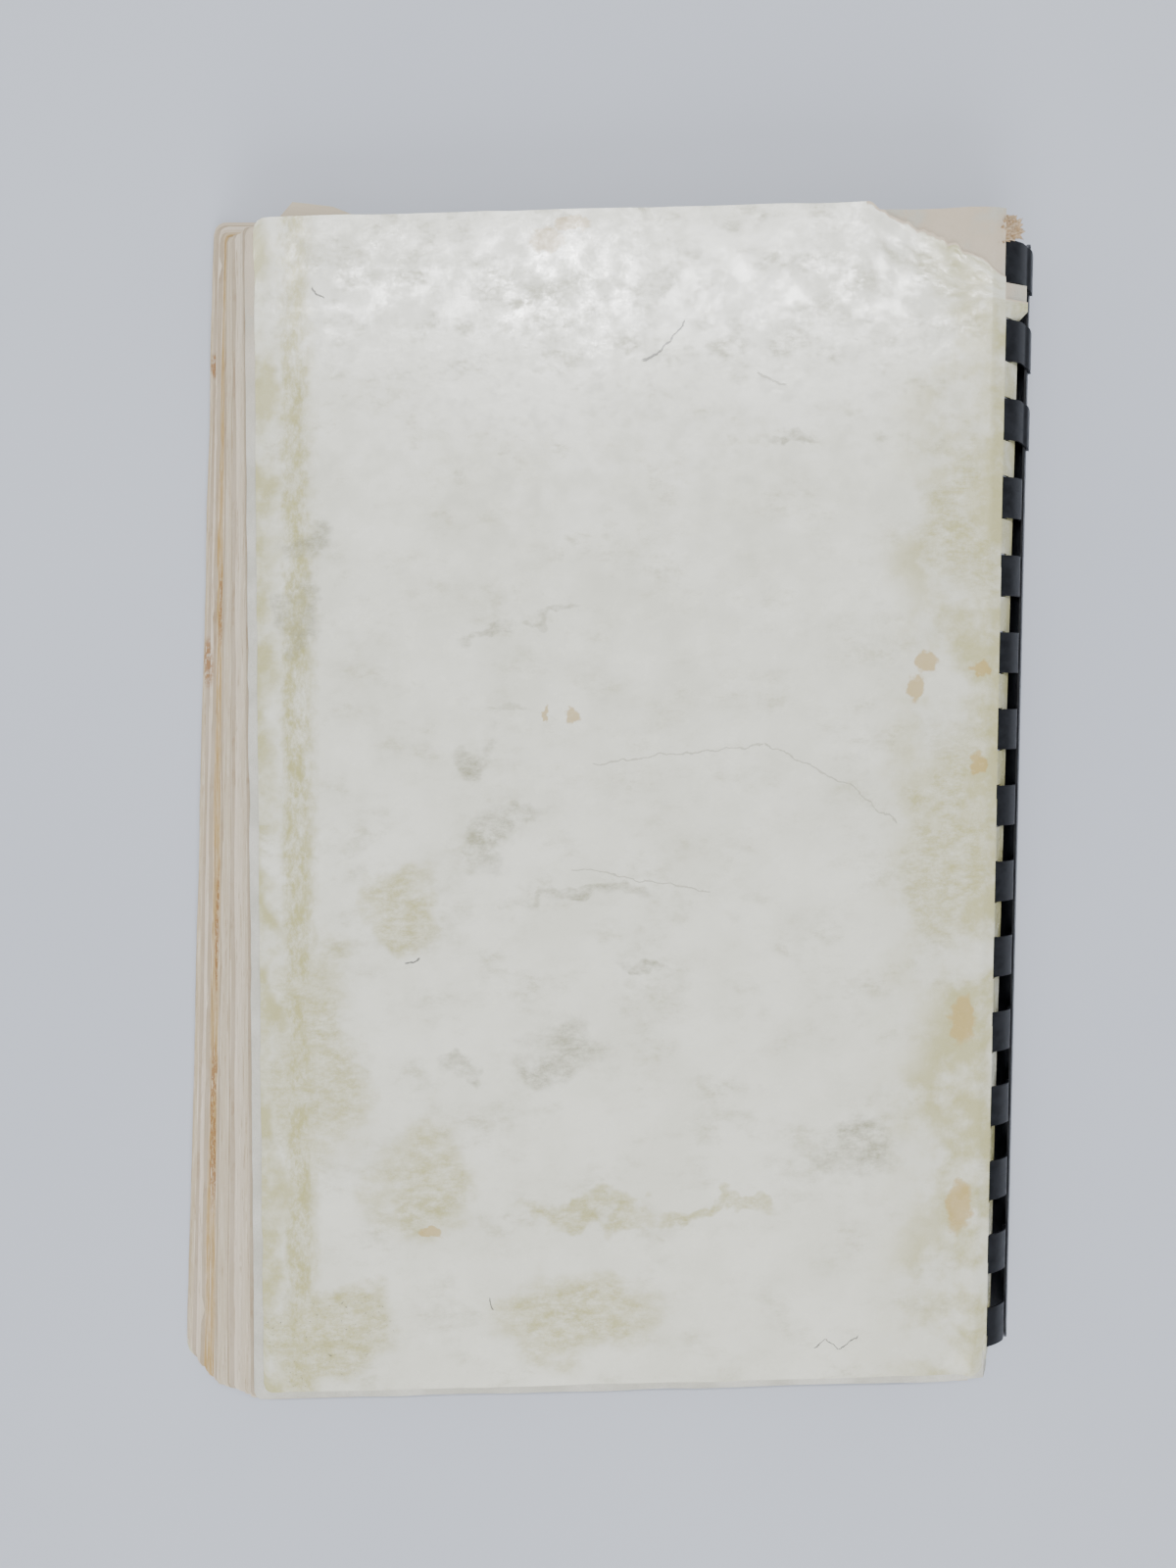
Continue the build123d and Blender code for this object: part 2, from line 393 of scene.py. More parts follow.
def cover_card():
    """Gloss-coated white card: x runs from the fore edge, y towards the head, z is wear."""
    m = Shader("cover_card")
    at = m.wobbly(24.0, 0.07)
    near = m.wobbly(4.0, 0.45)
    straight = m.wobbly(3.0, 0.25)
    blotchy = m.noise(0.06, 6, 0.62)
    fine = m.noise(0.22, 10, 0.8, (1, 1.7, 1))
    specks = m.fade(m.noise(1.6, 5, 0.75), 0.56, 0.72)
    clouds = m.noise(0.075, 7, 0.72, (1, 1.5, 1))
    grime = m.times(m.fade(clouds, 0.46, 0.66), m.fade(fine, 0.4, 0.62))

    # Yellowing lies along the fore edge, down a band beside it and along the comb. The tables
    # here give the middle and the half size of each mark, or the two ends of each line.
    band = m.times(m.fade(near[0], 3.0, 6.0), m.fade(near[0], 8.0, 12.0, 1.0, 0.0))
    edge = m.fade(at[0], 0.5, 6.0, 1.0, 0.0)
    spine = m.fade(at[0], 112.0, 130.0)
    corner = m.blot(at, (12.0, -99.0), (14.0, 9.5), 0.45)
    low_marks = [
        m.times(m.blot(at, centre, size, 0.8), m.fade(fine, 0.22, 0.72))
        for centre, size in (
            ((30.0, -68.0), (9.0, 10.0)),
            ((62.0, -74.0), (12.0, 2.0)),
            ((86.0, -74.0), (10.0, 1.5)),
            ((27.0, -17.0), (6.0, 7.0)),
            ((129.0, -5.0), (8.0, 18.0)),
            ((131.0, 56.0), (7.0, 16.0)),
            ((60.0, -96.0), (14.0, 8.0)),
            ((10.0, -45.0), (9.0, 20.0)),
        )
    ]
    yellow = m.math(
        "MULTIPLY",
        m.most(
            m.times(band, m.fade(m.noise(0.3, 8, 0.78, (1, 0.5, 1)), 0.3, 0.62), 1.0),
            m.times(edge, m.fade(blotchy, 0.36, 0.56), 0.9),
            m.times(spine, m.fade(blotchy, 0.38, 0.58), 0.85),
            m.times(corner, m.fade(fine, 0.2, 0.7), 1.0),
            *low_marks,
        ),
        0.9,
    )
    foxing = m.most(
        *[
            m.blot(near, centre, size, 0.35)
            for centre, size in (
                ((58.2, 18.8), (1.3, 1.5)),
                ((53.3, 19.2), (0.5, 1.3)),
                ((31.8, -78.0), (2.0, 1.2)),
                ((53.0, 104.5), (3.0, 2.2)),
                ((58.0, 107.0), (3.5, 1.2)),
                ((123.5, 27.0), (2.2, 2.0)),
                ((121.8, 22.5), (1.8, 2.4)),
                ((134.0, 25.5), (2.0, 1.3)),
                ((131.5, -40.0), (2.4, 4.5)),
                ((131.5, -75.5), (2.4, 5.0)),
                ((133.5, 8.0), (1.5, 2.2)),
            )
        ]
    )
    smudge = m.times(
        m.most(
            *[
                m.blot(at, centre, size, 0.8)
                for centre, size in (
                    ((48.7, 2.7), (4.5, 2.6)),
                    ((42.0, 34.5), (6.0, 1.2)),
                    ((53.0, 36.0), (4.5, 0.9)),
                    ((46.0, 19.5), (5.5, 0.8)),
                    ((40.0, 13.0), (3.5, 2.2)),
                    ((57.0, -45.0), (7.0, 5.0)),
                    ((71.0, -28.5), (5.0, 1.2)),
                    ((36.0, -49.0), (4.0, 2.5)),
                    ((98.0, 68.0), (4.0, 1.0)),
                    ((112.0, -64.0), (8.0, 5.0)),
                    ((8.0, 52.0), (4.0, 3.5)),
                    ((6.5, 37.5), (3.0, 5.0)),
                    ((60.0, -14.0), (13.0, 1.6)),
                    ((44.0, -3.0), (4.0, 6.0)),
                )
            ]
        ),
        m.fade(fine, 0.3, 0.72),
    )
    ink = m.most(
        m.stroke(straight, (70.5, 82.8), (74.6, 85.2), 0.28),
        m.stroke(straight, (74.2, 85.0), (78.7, 90.0), 0.22),
        m.stroke(straight, (10.2, 97.6), (12.9, 95.4), 0.25),
        m.stroke(straight, (27.2, -26.6), (30.0, -25.4), 0.22),
        m.stroke(straight, (43.0, -91.0), (43.2, -93.6), 0.15),
        m.stroke(straight, (104.5, -103.0), (107.0, -101.2), 0.12),
        m.stroke(straight, (107.0, -101.2), (109.5, -103.4), 0.12),
        m.stroke(straight, (109.5, -103.4), (113.0, -100.8), 0.12),
    )
    pits = m.times(corner, m.fade(m.noise(1.3, 4, 0.7), 0.6, 0.68))
    lines = m.most(
        m.stroke(straight, (61.5, 9.8), (94.0, 12.6), 0.16),
        m.stroke(straight, (94.0, 12.6), (109.0, 5.0), 0.16),
        m.stroke(straight, (109.0, 5.0), (118.5, -3.0), 0.14),
        m.stroke(straight, (58.0, -9.5), (84.0, -14.5), 0.14),
        m.stroke(straight, (91.5, 80.6), (96.8, 78.0), 0.3),
    )

    base = m.mix(m.fade(blotchy, 0.35, 0.65), CARD_DULL, CARD_BRIGHT)
    base = m.mix(m.fade(m.y, -110.0, 110.0, 0.35, 0.0), base, CARD_TAIL)
    base = m.mix(m.times(grime, 0.55), base, GRIME)
    base = m.mix(m.times(yellow, 0.95), base, YELLOWED)
    base = m.mix(m.times(foxing, 0.7), base, FOXED)
    base = m.mix(m.times(smudge, 0.85), base, SMUDGED)
    base = m.mix(m.times(specks, m.add(0.12, m.times(yellow, 0.3))), base, SPECKLED)
    base = m.mix(m.times(ink, 0.85), base, INK)
    base = m.mix(m.times(pits, 0.8), base, PITTED)
    base = m.mix(m.times(lines, 0.6), base, SCRATCHED)
    bare = m.fade(m.add(m.z, m.times(m.noise(1.2, 4, 0.7), 0.7)), 0.75, 1.0)
    base = m.mix(bare, base, m.mix(m.noise(2.5, 4, 0.7), CORE_DARK, CORE_PALE))
    rough = m.fade(m.noise(0.2, 5, 0.65), 0.35, 0.65, 0.12, 0.3)
    rough = m.math("ADD", rough, m.times(m.most(grime, smudge, bare), 0.3), clamp=True)
    m.set(Base_Color=base, Roughness=rough, Specular_IOR_Level=0.5)
    m.bump(
        (m.noise(0.07, 3, 0.5), 0.1),
        (m.noise(0.7, 6, 0.62), 0.013),
        (m.most(lines, ink), -0.05),
    )
    return m.material


def leaf_paper():
    """Aged paper: x is the distance in from the nearest edge, y along it, z the leaf's number."""
    m = Shader("leaf_paper")
    level = m.math("DIVIDE", m.z, float(LEAVES))
    wavy = m.add(level, m.times(m.add(m.noise(0.03, 3, 0.6), -0.5), 0.05))
    bands = m.ramp(
        wavy,
        [
            (0.0, (0.46, 0.37, 0.24)),
            (0.10, (0.50, 0.41, 0.28)),
            (0.13, (0.66, 0.57, 0.47)),
            (0.21, (0.57, 0.48, 0.36)),
            (0.24, (0.42, 0.28, 0.10)),
            (0.38, (0.47, 0.33, 0.15)),
            (0.42, (0.53, 0.45, 0.33)),
            (0.62, (0.52, 0.44, 0.32)),
            (0.66, (0.62, 0.54, 0.43)),
            (0.85, (0.54, 0.46, 0.34)),
            (1.0, (0.60, 0.53, 0.42)),
        ],
    )
    streaks = m.noise(0.5, 5, 0.65, (0.3, 0.12, 1.7))
    base = m.mix(m.times(m.fade(streaks, 0.4, 0.7), 0.6), bands, PAPER_PALE)
    dull = m.fade(m.noise(0.9, 4, 0.7, (0.2, 0.1, 2.3)), 0.52, 0.7)
    base = m.mix(m.times(dull, 0.6), base, PAPER_DULL)
    # Painted shade: a thin dark line on each listed leaf's fore edge, where a step in the block
    # would shade it.
    painted_ledge_shade = m.most(
        *[
            m.fade(m.math("ABSOLUTE", m.add(m.z, -float(number))), 0.3, 0.8, 1.0, 0.0)
            for number in SHADED_LEDGE_LEAVES
        ]
    )
    base = m.mix(m.times(painted_ledge_shade, 0.5), base, LEDGE_SHADE)
    brown = m.most(
        *[
            m.times(
                m.blot((m.y, m.z), (y, number), (length, thick), 0.6),
                m.fade(m.noise(0.8, 4, 0.7), 0.38, 0.55),
            )
            for y, number, length, thick in (
                (83.0, 12.0, 2.2, 6.0),
                (27.0, 12.0, 4.5, 7.0),
                (40.0, 30.0, 7.0, 4.0),
                (-22.0, 33.0, 12.0, 5.0),
                (-60.0, 30.0, 16.0, 6.0),
            )
        ]
    )
    base = m.mix(m.times(brown, 0.8), base, PAPER_BROWN)
    inner = m.fade(m.add(m.x, m.times(m.add(m.noise(0.12, 4, 0.6), -0.5), 5.0)), 1.5, 9.0)
    page = m.mix(m.noise(0.05, 5, 0.6), PAGE_DARK, PAGE_PALE)
    base = m.mix(m.times(inner, 0.85), base, page)
    m.set(Base_Color=base, Roughness=0.85, Specular_IOR_Level=0.25)
    m.bump((m.noise(1.1, 5, 0.65, (1, 0.3, 1)), 0.12), (m.noise(5.0, 3, 0.6), 0.03))
    return m.material


def flyleaf_paper():
    """Heavier grey-white paper with a felted edge."""
    m = Shader("flyleaf_paper")
    felt = m.noise(2.6, 5, 0.7)
    patchy = m.noise(0.09, 5, 0.6)
    base = m.mix(m.fade(patchy, 0.35, 0.65), FLYLEAF_DARK, FLYLEAF_PALE)
    base = m.mix(m.times(m.fade(felt, 0.5, 0.7), 0.35), base, FELT)
    tan_edge = m.fade(m.y, 60.0, 112.0)
    base = m.mix(m.times(tan_edge, m.fade(patchy, 0.3, 0.5), 0.7), base, FLYLEAF_TAN)
    m.set(Base_Color=base, Roughness=0.9, Specular_IOR_Level=0.2)
    m.bump((felt, 0.12), (m.noise(0.25, 4, 0.6), 0.35))
    return m.material


def torn_fibres():
    """Bare inner layers of the card where it tore."""
    m = Shader("torn_fibres")
    fibres = m.noise(1.1, 6, 0.75, (1, 2.2, 1))
    base = m.mix(m.fade(fibres, 0.32, 0.7), FIBRE_DARK, FIBRE_PALE)
    m.set(Base_Color=base, Roughness=0.95, Specular_IOR_Level=0.15)
    m.bump((fibres, 0.4), (m.noise(4.0, 4, 0.7), 0.1))
    return m.material


def comb_plastic():
    """Black moulded plastic: x runs round the ring, y along the comb, z across a finger."""
    m = Shader("comb_plastic")
    haze = m.noise(0.35, 5, 0.65)
    scuffs = m.fade(m.noise(1.3, 6, 0.7, (0.15, 1.6, 1)), 0.58, 0.72)
    dust = m.fade(m.noise(3.2, 4, 0.7), 0.63, 0.74)
    base = m.mix(m.fade(haze, 0.35, 0.65), PLASTIC_DARK, PLASTIC_HAZY)
    base = m.mix(m.times(scuffs, 0.2), base, SCUFFED)
    base = m.mix(m.times(dust, 0.16), base, DUSTY)
    rough = m.math(
        "ADD", m.fade(haze, 0.3, 0.7, 0.3, 0.42), m.times(scuffs, 0.2), clamp=True
    )
    m.set(Base_Color=base, Roughness=rough, Specular_IOR_Level=0.3)
    m.bump((m.noise(0.25, 2, 0.4), 0.08), (m.noise(3.0, 4, 0.6), 0.006))
    return m.material


card = cover_card()
leaf_material = leaf_paper()
flyleaf_material = flyleaf_paper()
fibre_material = torn_fibres()
plastic = comb_plastic()


def rounding(distance, radius):
    """How far a rounded corner sinks at a distance in from its side."""
    left = np.clip(1 - np.asarray(distance, float) / np.maximum(radius, 1e-6), 0, 1)
    return radius * (1 - np.sqrt(1 - left**2))


def pulled(y, head, tail, hold=92.0):
    """Rows of y with their ends moved by head and tail, and none moved within hold."""
    reach = np.clip((np.abs(y) - hold) / (HALF_HEIGHT - hold), 0, 1)
    return y + np.where(y > 0, head, tail) * reach


# ---- leaves ----

leaf_ends = np.array([104.9, 106.0, 107.2, 108.4, 109.1, HALF_HEIGHT])
leaf_rows = np.sort(np.concatenate([between(slot_edges, 3), leaf_ends, -leaf_ends]))
stagger = np.zeros(LEAVES)
for leaf_number in range(LEAVES - 2, -1, -1):
    stagger[leaf_number] = stagger[leaf_number + 1] * 0.93 + rng.normal(0, 0.07)
    stagger[leaf_number] += GROUP_STEPS.get(leaf_number, 0.0)
end_shift = rng.normal(0, 0.16, (LEAVES, 2))


def lean(y):
    """How far the lowest leaf reaches beyond the back cover: more at the tail."""
    return np.interp(y, [-HALF_HEIGHT, HALF_HEIGHT], [LEAN_AT_TAIL, LEAN_AT_HEAD])


def leaf(number):
    """A leaf, counted from the front cover. The book leans, so each starts beyond the next."""
    level = BOTTOM_LEAF_LEVEL + number * LEAF_PITCH
    low = 1 - number / (LEAVES - 1)
    crease = -sqrt(FINGER_RADIUS**2 - level**2) - SLOT_DEPTH / 2
    y = leaf_rows
    fore = COVER_FORE[0] - TOP_LEAF_REACH - low * (lean(y) - TOP_LEAF_REACH) - stagger[number]
    fore = fore + wander(y, 14.0, 0.09, 300 + number // 3) + wander(y, 4.0, 0.035, 700 + number)
    if number in TORN_LEAVES:
        fore = fore + np.clip(wander(y, 2.6, 0.3, 900 + number) - 0.25, 0, 0.6)
    inward = np.array([0.0, 0.35, 0.9, 1.8, 3.2, 5.5, 9.0])
    strip = crease + np.array([0.0, SLOT_DEPTH / 2, SLOT_DEPTH, STRIP_WIDTH])
    rest = np.concatenate([[-119.0, -114.0, -109.0, -104.0, -90.0, -60.0, -30.0], strip])
    u = np.concatenate([fore + inward[:, None], np.repeat(rest[:, None], len(y), axis=1)])
    distance = u - fore
    y = np.broadcast_to(y, u.shape)
    tail_round = 0.9 + 1.9 * smooth(low, 0.8, 1.0)
    head_round = 0.9 + 1.6 * smooth(low, 0.7, 1.0)
    head = end_shift[number, 0] - LEAVES_SHORT - rounding(distance, head_round)
    tail = end_shift[number, 1] - LEAVES_SHORT + rounding(distance, tail_round)
    if number == LOOSE_LEAF:  # its head corner stands out of the block
        head = head + LOOSE_LEAF_RISE * smooth(u, -131.0, -126.0) * smooth(-u, 108.0, 124.0)
    slope = TRIM_SLOPE * (1 - smooth(low, 0.6, 1.0))
    y_placed = pulled(y, head, tail) + slope * np.minimum(u - crease, 0)
    nearest = np.minimum(distance, HALF_HEIGHT - np.abs(y))
    keep = np.ones((u.shape[0] - 1, u.shape[1] - 1), bool)
    keep[-3:-1] = ~in_slots(leaf_rows)  # the two columns of cells between the slots
    centre = np.stack([u, y_placed, np.full(u.shape, level)], -1)
    place = np.stack([nearest, y, np.full(u.shape, float(number))], -1)
    return slab(centre, keep, LEAF_THICKNESS - LEAF_SLACK, place)


bodies = frame["record"]["behaviour"]["bodies"]
body_of_node = {node: body for body, nodes in bodies.items() for node in nodes}
for section in range(1, SECTIONS + 1):
    first = (section - 1) * LEAVES_PER_SECTION
    solids = [leaf(first + i) for i in range(LEAVES_PER_SECTION)]
    block = piece(f"leaf_section_{section:02d}", solids, leaf_material)
    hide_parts(f"leaves_{section:02d}")
    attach(block, body_of_node[f"leaves_{section:02d}"])


# ---- the sheets bent over the comb: back cover and flyleaf ----

def crease_at(y):
    """Along the back cover from its fore edge to its crease, which wanders towards the tail."""
    return CREASE + np.interp(y, [-HALF_HEIGHT, HALF_HEIGHT], [CREASE_WANDER, 0.0])


def strip_slope(y):
    """The slope of the binding edge: flatter towards the head, and flattest at the torn tab."""
    torn_tab = smooth(y, 89.9, 91.2)
    slope = np.interp(y, *zip(*STRIP_SLOPES))
    return slope * (1 - torn_tab) + TORN_TAB_SLOPE * torn_tab


def draped(s, y, depth):
    """u and w of the surface a depth below the back cover, s along it from its fore edge."""
    crease = crease_at(y)
    turn = SHOULDER_SLOPE + DRAPE_SLOPE
    slope = -DRAPE_SLOPE + turn * smooth(s, SHOULDER - 0.5, SHOULDER + 0.5)
    slope = slope + (strip_slope(y) - SHOULDER_SLOPE) * smooth(s, crease - 0.28, crease + 0.28)
    middle = np.radians((slope[:-1] + slope[1:]) / 2)
    steps = np.diff(s, axis=0)
    u = COVER_FORE[0] + s[:1] + np.concatenate([s[:1] * 0, np.cumsum(steps * np.cos(middle), 0)])
    w = COVER_FORE[1] - np.concatenate([s[:1] * 0, np.cumsum(steps * np.sin(middle), 0)])
    down = np.radians(slope)
    return u - depth * np.sin(down), w - depth * np.cos(down)


sheet_s = np.concatenate(
    [
        [0.0, 0.3, 0.8, 1.6, 3.0, 5.0, 8.0],
        np.arange(12.0, 108.0, 5.0),
        np.arange(108.0, 134.0, 0.4),
        np.arange(134.1, 136.3, 0.25),
        np.arange(136.4, 137.9, 0.12),
    ]
)
strip_s = np.array([0.9, 1.5, 2.2, SLOT_DEPTH, 3.5, 4.1, 4.8, STRIP_WIDTH - STRIP_TORN])
sheet_ends = np.array([105.5, 107.0, 108.3, 109.1, HALF_HEIGHT])
tab_rows = between(LAST_TAB, 8)[1:-1]
sheet_rows = np.concatenate([between(slot_edges, 3), tab_rows, sheet_ends, -sheet_ends])
sheet_rows = np.sort(sheet_rows)
sheet_rows = sheet_rows[np.concatenate([[True], np.diff(sheet_rows) > 0.02])]


def sheet_grid():
    """s and y over the sheet; past 137.9 the columns follow the crease, so that the slots do."""
    s, y = grid(sheet_s, sheet_rows)
    strip = crease_at(sheet_rows) + strip_s[:, None]
    strip_y = np.broadcast_to(sheet_rows, strip.shape)
    return np.concatenate([s, strip]), np.concatenate([y, strip_y])


def slotted(s):
    """Which cells of a bent sheet are kept, with the slots out."""
    middle = (s[:-1, :-1] + s[1:, 1:]) / 2 - crease_at(sheet_rows)[:-1]
    return ~((middle > 0.0) & (middle < SLOT_DEPTH) & in_slots(sheet_rows))


def warp(s, y):
    """Long gentle waves of worn card, with a lifted scrap and a curled tail corner."""
    inside = smooth(s, 0.0, 20.0) * (1 - smooth(s, 118.0, 133.0))
    waves = 0.03 * np.sin(s * 0.063 + y * 0.021) * np.sin(y * 0.043 - s * 0.017 + 1.0)
    lifted = 0.35 * np.exp(-(((s - 113.5) / 4.0) ** 2) - ((y - 109.5) / 2.6) ** 2)
    curled = -0.7 * smooth(-y, 104.0, 110.0) * smooth(s, 124.0, 137.0)
    return waves * inside + lifted + curled


s, y = sheet_grid()
u, w = draped(s, y, 0.0)
panel = 1 - smooth(s, 131.0, 136.5)
tear = np.clip((s - TEAR_START) / (CREASE - TEAR_START), 0, 1) ** 0.92
tear = TEAR_DEPTH * smooth(s, 111.0, 113.0) * tear
jagged = wander(s[:, 0], 0.9, 0.42, 5)[:, None] * smooth(s, 111.0, 115.0)
head = COVER_SHIFT * panel - rounding(s, 2.4)
head = head - np.where(s < CREASE, tear + jagged * 0.8, TEAR_STRIP_DEPTH)
head = head + wander(s[:, 0], 6.0, 0.08, 6)[:, None]
tail = COVER_SHIFT * panel + rounding(s, 1.8) + rounding(CREASE - s, 3.2) * (s < CREASE)
tail = tail + wander(s[:, 0], 5.0, 0.1, 7)[:, None]
tail = tail + np.where(s >= CREASE, 3.4, 0.0)
placed_y = pulled(y, head, tail) + TRIM_SLOPE * np.minimum(u, 0)
fore_wear = wander(sheet_rows, 5.0, 0.09, 8) * (1 - smooth(s, 0.0, 3.0))
centre = np.stack([u + fore_wear, placed_y, w + warp(s, y)], -1)
to_tear = np.where(s < 111.0, 99.0, (HALF_HEIGHT - y) * 0.8 + 0.02 * np.abs(s - 125))
to_tear = np.where(s >= CREASE, np.minimum(LAST_TAB[1] - y, 99.0) * 0.6, to_tear)
worn = np.clip(1.0 - np.clip(to_tear, 0, None) / 1.3, 0, 1)
keep = slotted(s)
rows_middle = (sheet_rows[:-1] + sheet_rows[1:]) / 2
beyond = (s[:-1, :-1] + s[1:, 1:]) / 2 > CREASE
torn_off = beyond & (rows_middle > LAST_TAB[1])
keep &= ~torn_off
place = np.stack([s, y, worn], -1)
back = piece("back_cover_card", [slab(centre, keep, COVER_THICKNESS, place)], card)
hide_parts("back_cover", "back_cover_binding_edge")
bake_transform(back)

u, w = draped(s, y, FLYLEAF_DEPTH)
head = -0.35 - rounding(s, 2.0) + wander(s[:, 0], 5.0, 0.1, 11)[:, None]
tail = -0.3 + rounding(s, 1.8) + wander(s[:, 0], 5.0, 0.1, 12)[:, None]
beyond_cover = FLYLEAF_REACH + wander(sheet_rows, 4.0, 0.07, 13)
placed_u = u - beyond_cover * (1 - smooth(s, 0.0, 40.0))
placed_y = pulled(y, head, tail) + TRIM_SLOPE * np.minimum(u, 0)
sunk = np.minimum(warp(s, y), 0.0)
centre = np.stack([placed_u, placed_y, w + sunk], -1)
flyleaf = piece(
    "flyleaf_sheet",
    [slab(centre, slotted(s) & ~torn_off, FLYLEAF_THICKNESS, np.stack([s, y, s * 0], -1))],
    flyleaf_material,
)
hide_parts("back_flyleaf")
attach(flyleaf, "leaves_back")


# ---- front cover, under the leaves ----

front_crease = -sqrt(FINGER_RADIUS**2 - FRONT_LEVEL**2) - SLOT_DEPTH / 2
across = np.concatenate(
    [
        [0.0, 0.3, 0.8, 1.6, 3.0, 5.0, 9.0],
        np.arange(15.0, 132.0, 6.0),
        [134.0, 135.5, 136.4, 136.8, 137.0, 137.3, 137.8, 138.6, 140.0, 141.5, 143.0],
    ]
)
s, y = grid(across, leaf_rows)
front_fore = COVER_FORE[0] + 0.5 - lean(y)
narrowed = (front_crease - front_fore) / PANEL_WIDTH
u = front_crease + (s - CREASE) * np.where(s < CREASE, narrowed, 1.0)
head = -rounding(s, 2.6) + wander(across, 6.0, 0.1, 21)[:, None]
tail = rounding(s, 3.0) + wander(across, 6.0, 0.1, 22)[:, None]
fore_wear = wander(leaf_rows, 5.0, 0.1, 23) * (1 - smooth(s, 0.0, 3.0))
placed_y = pulled(y, head, tail) + 0.5 * TRIM_SLOPE * np.minimum(u - front_crease, 0)
centre = np.stack([u + fore_wear, placed_y, FRONT_LEVEL + s * 0], -1)
middle = (across[:-1] + across[1:]) / 2 - CREASE
keep = ~(((middle > 0) & (middle < SLOT_DEPTH))[:, None] & in_slots(leaf_rows))
place = np.stack([s, -y, s * 0], -1)
front = piece("front_cover_card", [slab(centre, keep, COVER_THICKNESS, place)], card)
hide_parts("front_cover", "front_cover_binding_edge")
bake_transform(front)


# ---- comb ----

def finger(number, sprung):
    """A curled finger. It starts at the backbone's lower edge and ends beside its upper edge."""
    draw = np.random.default_rng(60 + number)
    end = FINGER_END + draw.normal(0, 1.1)
    step = SPRUNG_STEP if sprung else TUCKED_STEP
    ring = np.arange(360 - BACKBONE_ANGLE, 40.0, -6.0)
    turn = np.concatenate([ring, np.arange(38.0, 27.0, -2.0), np.linspace(26.0, end, 9)])
    radius = FINGER_RADIUS + step * smooth(-turn, -FINGER_BEND, -BACKBONE_ANGLE)
    along = np.concatenate([[0], np.cumsum(np.radians(-np.diff(turn)) * FINGER_RADIUS)])
    from_tip = along[-1] - along
    half = FINGER_WIDTH / 2 - 0.75 * rounding(from_tip, 1.5)
    half = half + 0.5 * rounding(along, 0.5)
    across = np.array([-1.0, -0.97, -0.8, -0.4, 0.0, 0.4, 0.8, 0.97, 1.0])
    y = slot_centres[number] + draw.normal(0, 0.02) + half[:, None] * across
    if sprung:
        y = y - SPRUNG_SKEW * smooth(-turn, -46.0, -14.0)[:, None]
    a = np.radians(turn)[:, None] + across * 0
    r = radius[:, None] + across * 0
    centre = np.stack([r * np.cos(a), y, r * np.sin(a)], -1)
    thick = COMB_THICKNESS * (1 - 0.45 * (1 - smooth(from_tip, 0.0, 0.7)))[:, None] + across * 0
    place = np.stack([along[:, None] + across * 0, y, y * 0 + across * 4 + number * 9.0], -1)
    return slab(centre, np.ones((len(turn) - 1, 8), bool), thick, place)


def rounded_edges(target, width):
    bevel = target.modifiers.new("worn_edges", "BEVEL")
    bevel.width = width * MM
    bevel.segments = 2
    bevel.limit_method = "ANGLE"
    bevel.angle_limit = radians(50)
    bevel.use_clamp_overlap = True


spine_ends = np.array([105.5, 105.4, 105.1, 104.6, 103.8, 102.6, 100.5])
spine_rows = np.sort(np.concatenate([-spine_ends, between([-98, 98], 40), spine_ends]))
angle, y = grid(np.linspace(-BACKBONE_ANGLE, BACKBONE_ANGLE, 15), spine_rows)
a = np.radians(angle)
end_radius = OUTER_RADIUS * sin(radians(BACKBONE_ANGLE))
height = np.abs(OUTER_RADIUS * np.sin(a))
drop = end_radius - np.sqrt(np.clip(end_radius**2 - height**2, 0, None))
reach = np.clip((np.abs(y) - 96.0) / (BACKBONE_LENGTH / 2 - 96.0), 0, 1)
placed_y = y - np.sign(y) * drop * reach
centre = np.stack([FINGER_RADIUS * np.cos(a), placed_y, FINGER_RADIUS * np.sin(a)], -1)
place = np.stack([a * FINGER_RADIUS, placed_y, angle * 0], -1)
backbone_solid = slab(centre, np.ones((14, len(spine_rows) - 1), bool), COMB_THICKNESS, place)
comb_pieces = [
    piece("comb_spine", [backbone_solid], plastic),
    piece("fingers_tucked", [finger(i, False) for i in range(TUCKED_FINGERS)], plastic),
    piece("fingers_sprung", [finger(i, True) for i in range(TUCKED_FINGERS, SLOTS)], plastic),
]
comb_nodes = ("comb_backbone", "comb_fingers_tucked", "comb_fingers_sprung")
for comb_piece, node in zip(comb_pieces, comb_nodes):
    rounded_edges(comb_piece, EDGE_BEVEL)
    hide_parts(node)
    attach(comb_piece, "comb")


# ---- scraps of torn paper at the head of the comb ----

def scrap(name, middle, size, tilt, seed):
    """A crumpled scrap with a ragged outline, lying about a point in book coordinates."""
    across = np.linspace(-1, 1, 19)
    a, b = grid(across, across)
    ragged = 1 + 0.16 * wander(np.arctan2(b, a).ravel() * 10, 1.3, 1.0, seed).reshape(a.shape)
    a, b = a * ragged, b * ragged
    crumple = np.zeros(a.shape)
    draw = np.random.default_rng(seed)
    for _ in range(7):
        direction = draw.uniform(0, 2 * np.pi)
        fold = a * cos(direction) + b * sin(direction) - draw.uniform(-0.6, 0.6)
        crumple += draw.uniform(0.1, 0.3) * np.abs(fold)
    crumple -= crumple.mean()
    u = middle[0] + size[0] * a
    w = middle[2] + size[2] * crumple + tan(radians(tilt)) * size[0] * a
    centre = np.stack([u, middle[1] + size[1] * b, w], -1)
    place = np.stack([a * size[0] + seed, b * size[1], crumple], -1)
    keep = np.ones((18, 18), bool)
    corner = (a[:-1, :-1] ** 2 + b[:-1, :-1] ** 2) > 1.45
    solid = slab(centre, keep & ~corner, SCRAP_THICKNESS, place)
    made = piece(name, [solid], fibre_material, sharp=60)
    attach(made, "leaves_back")


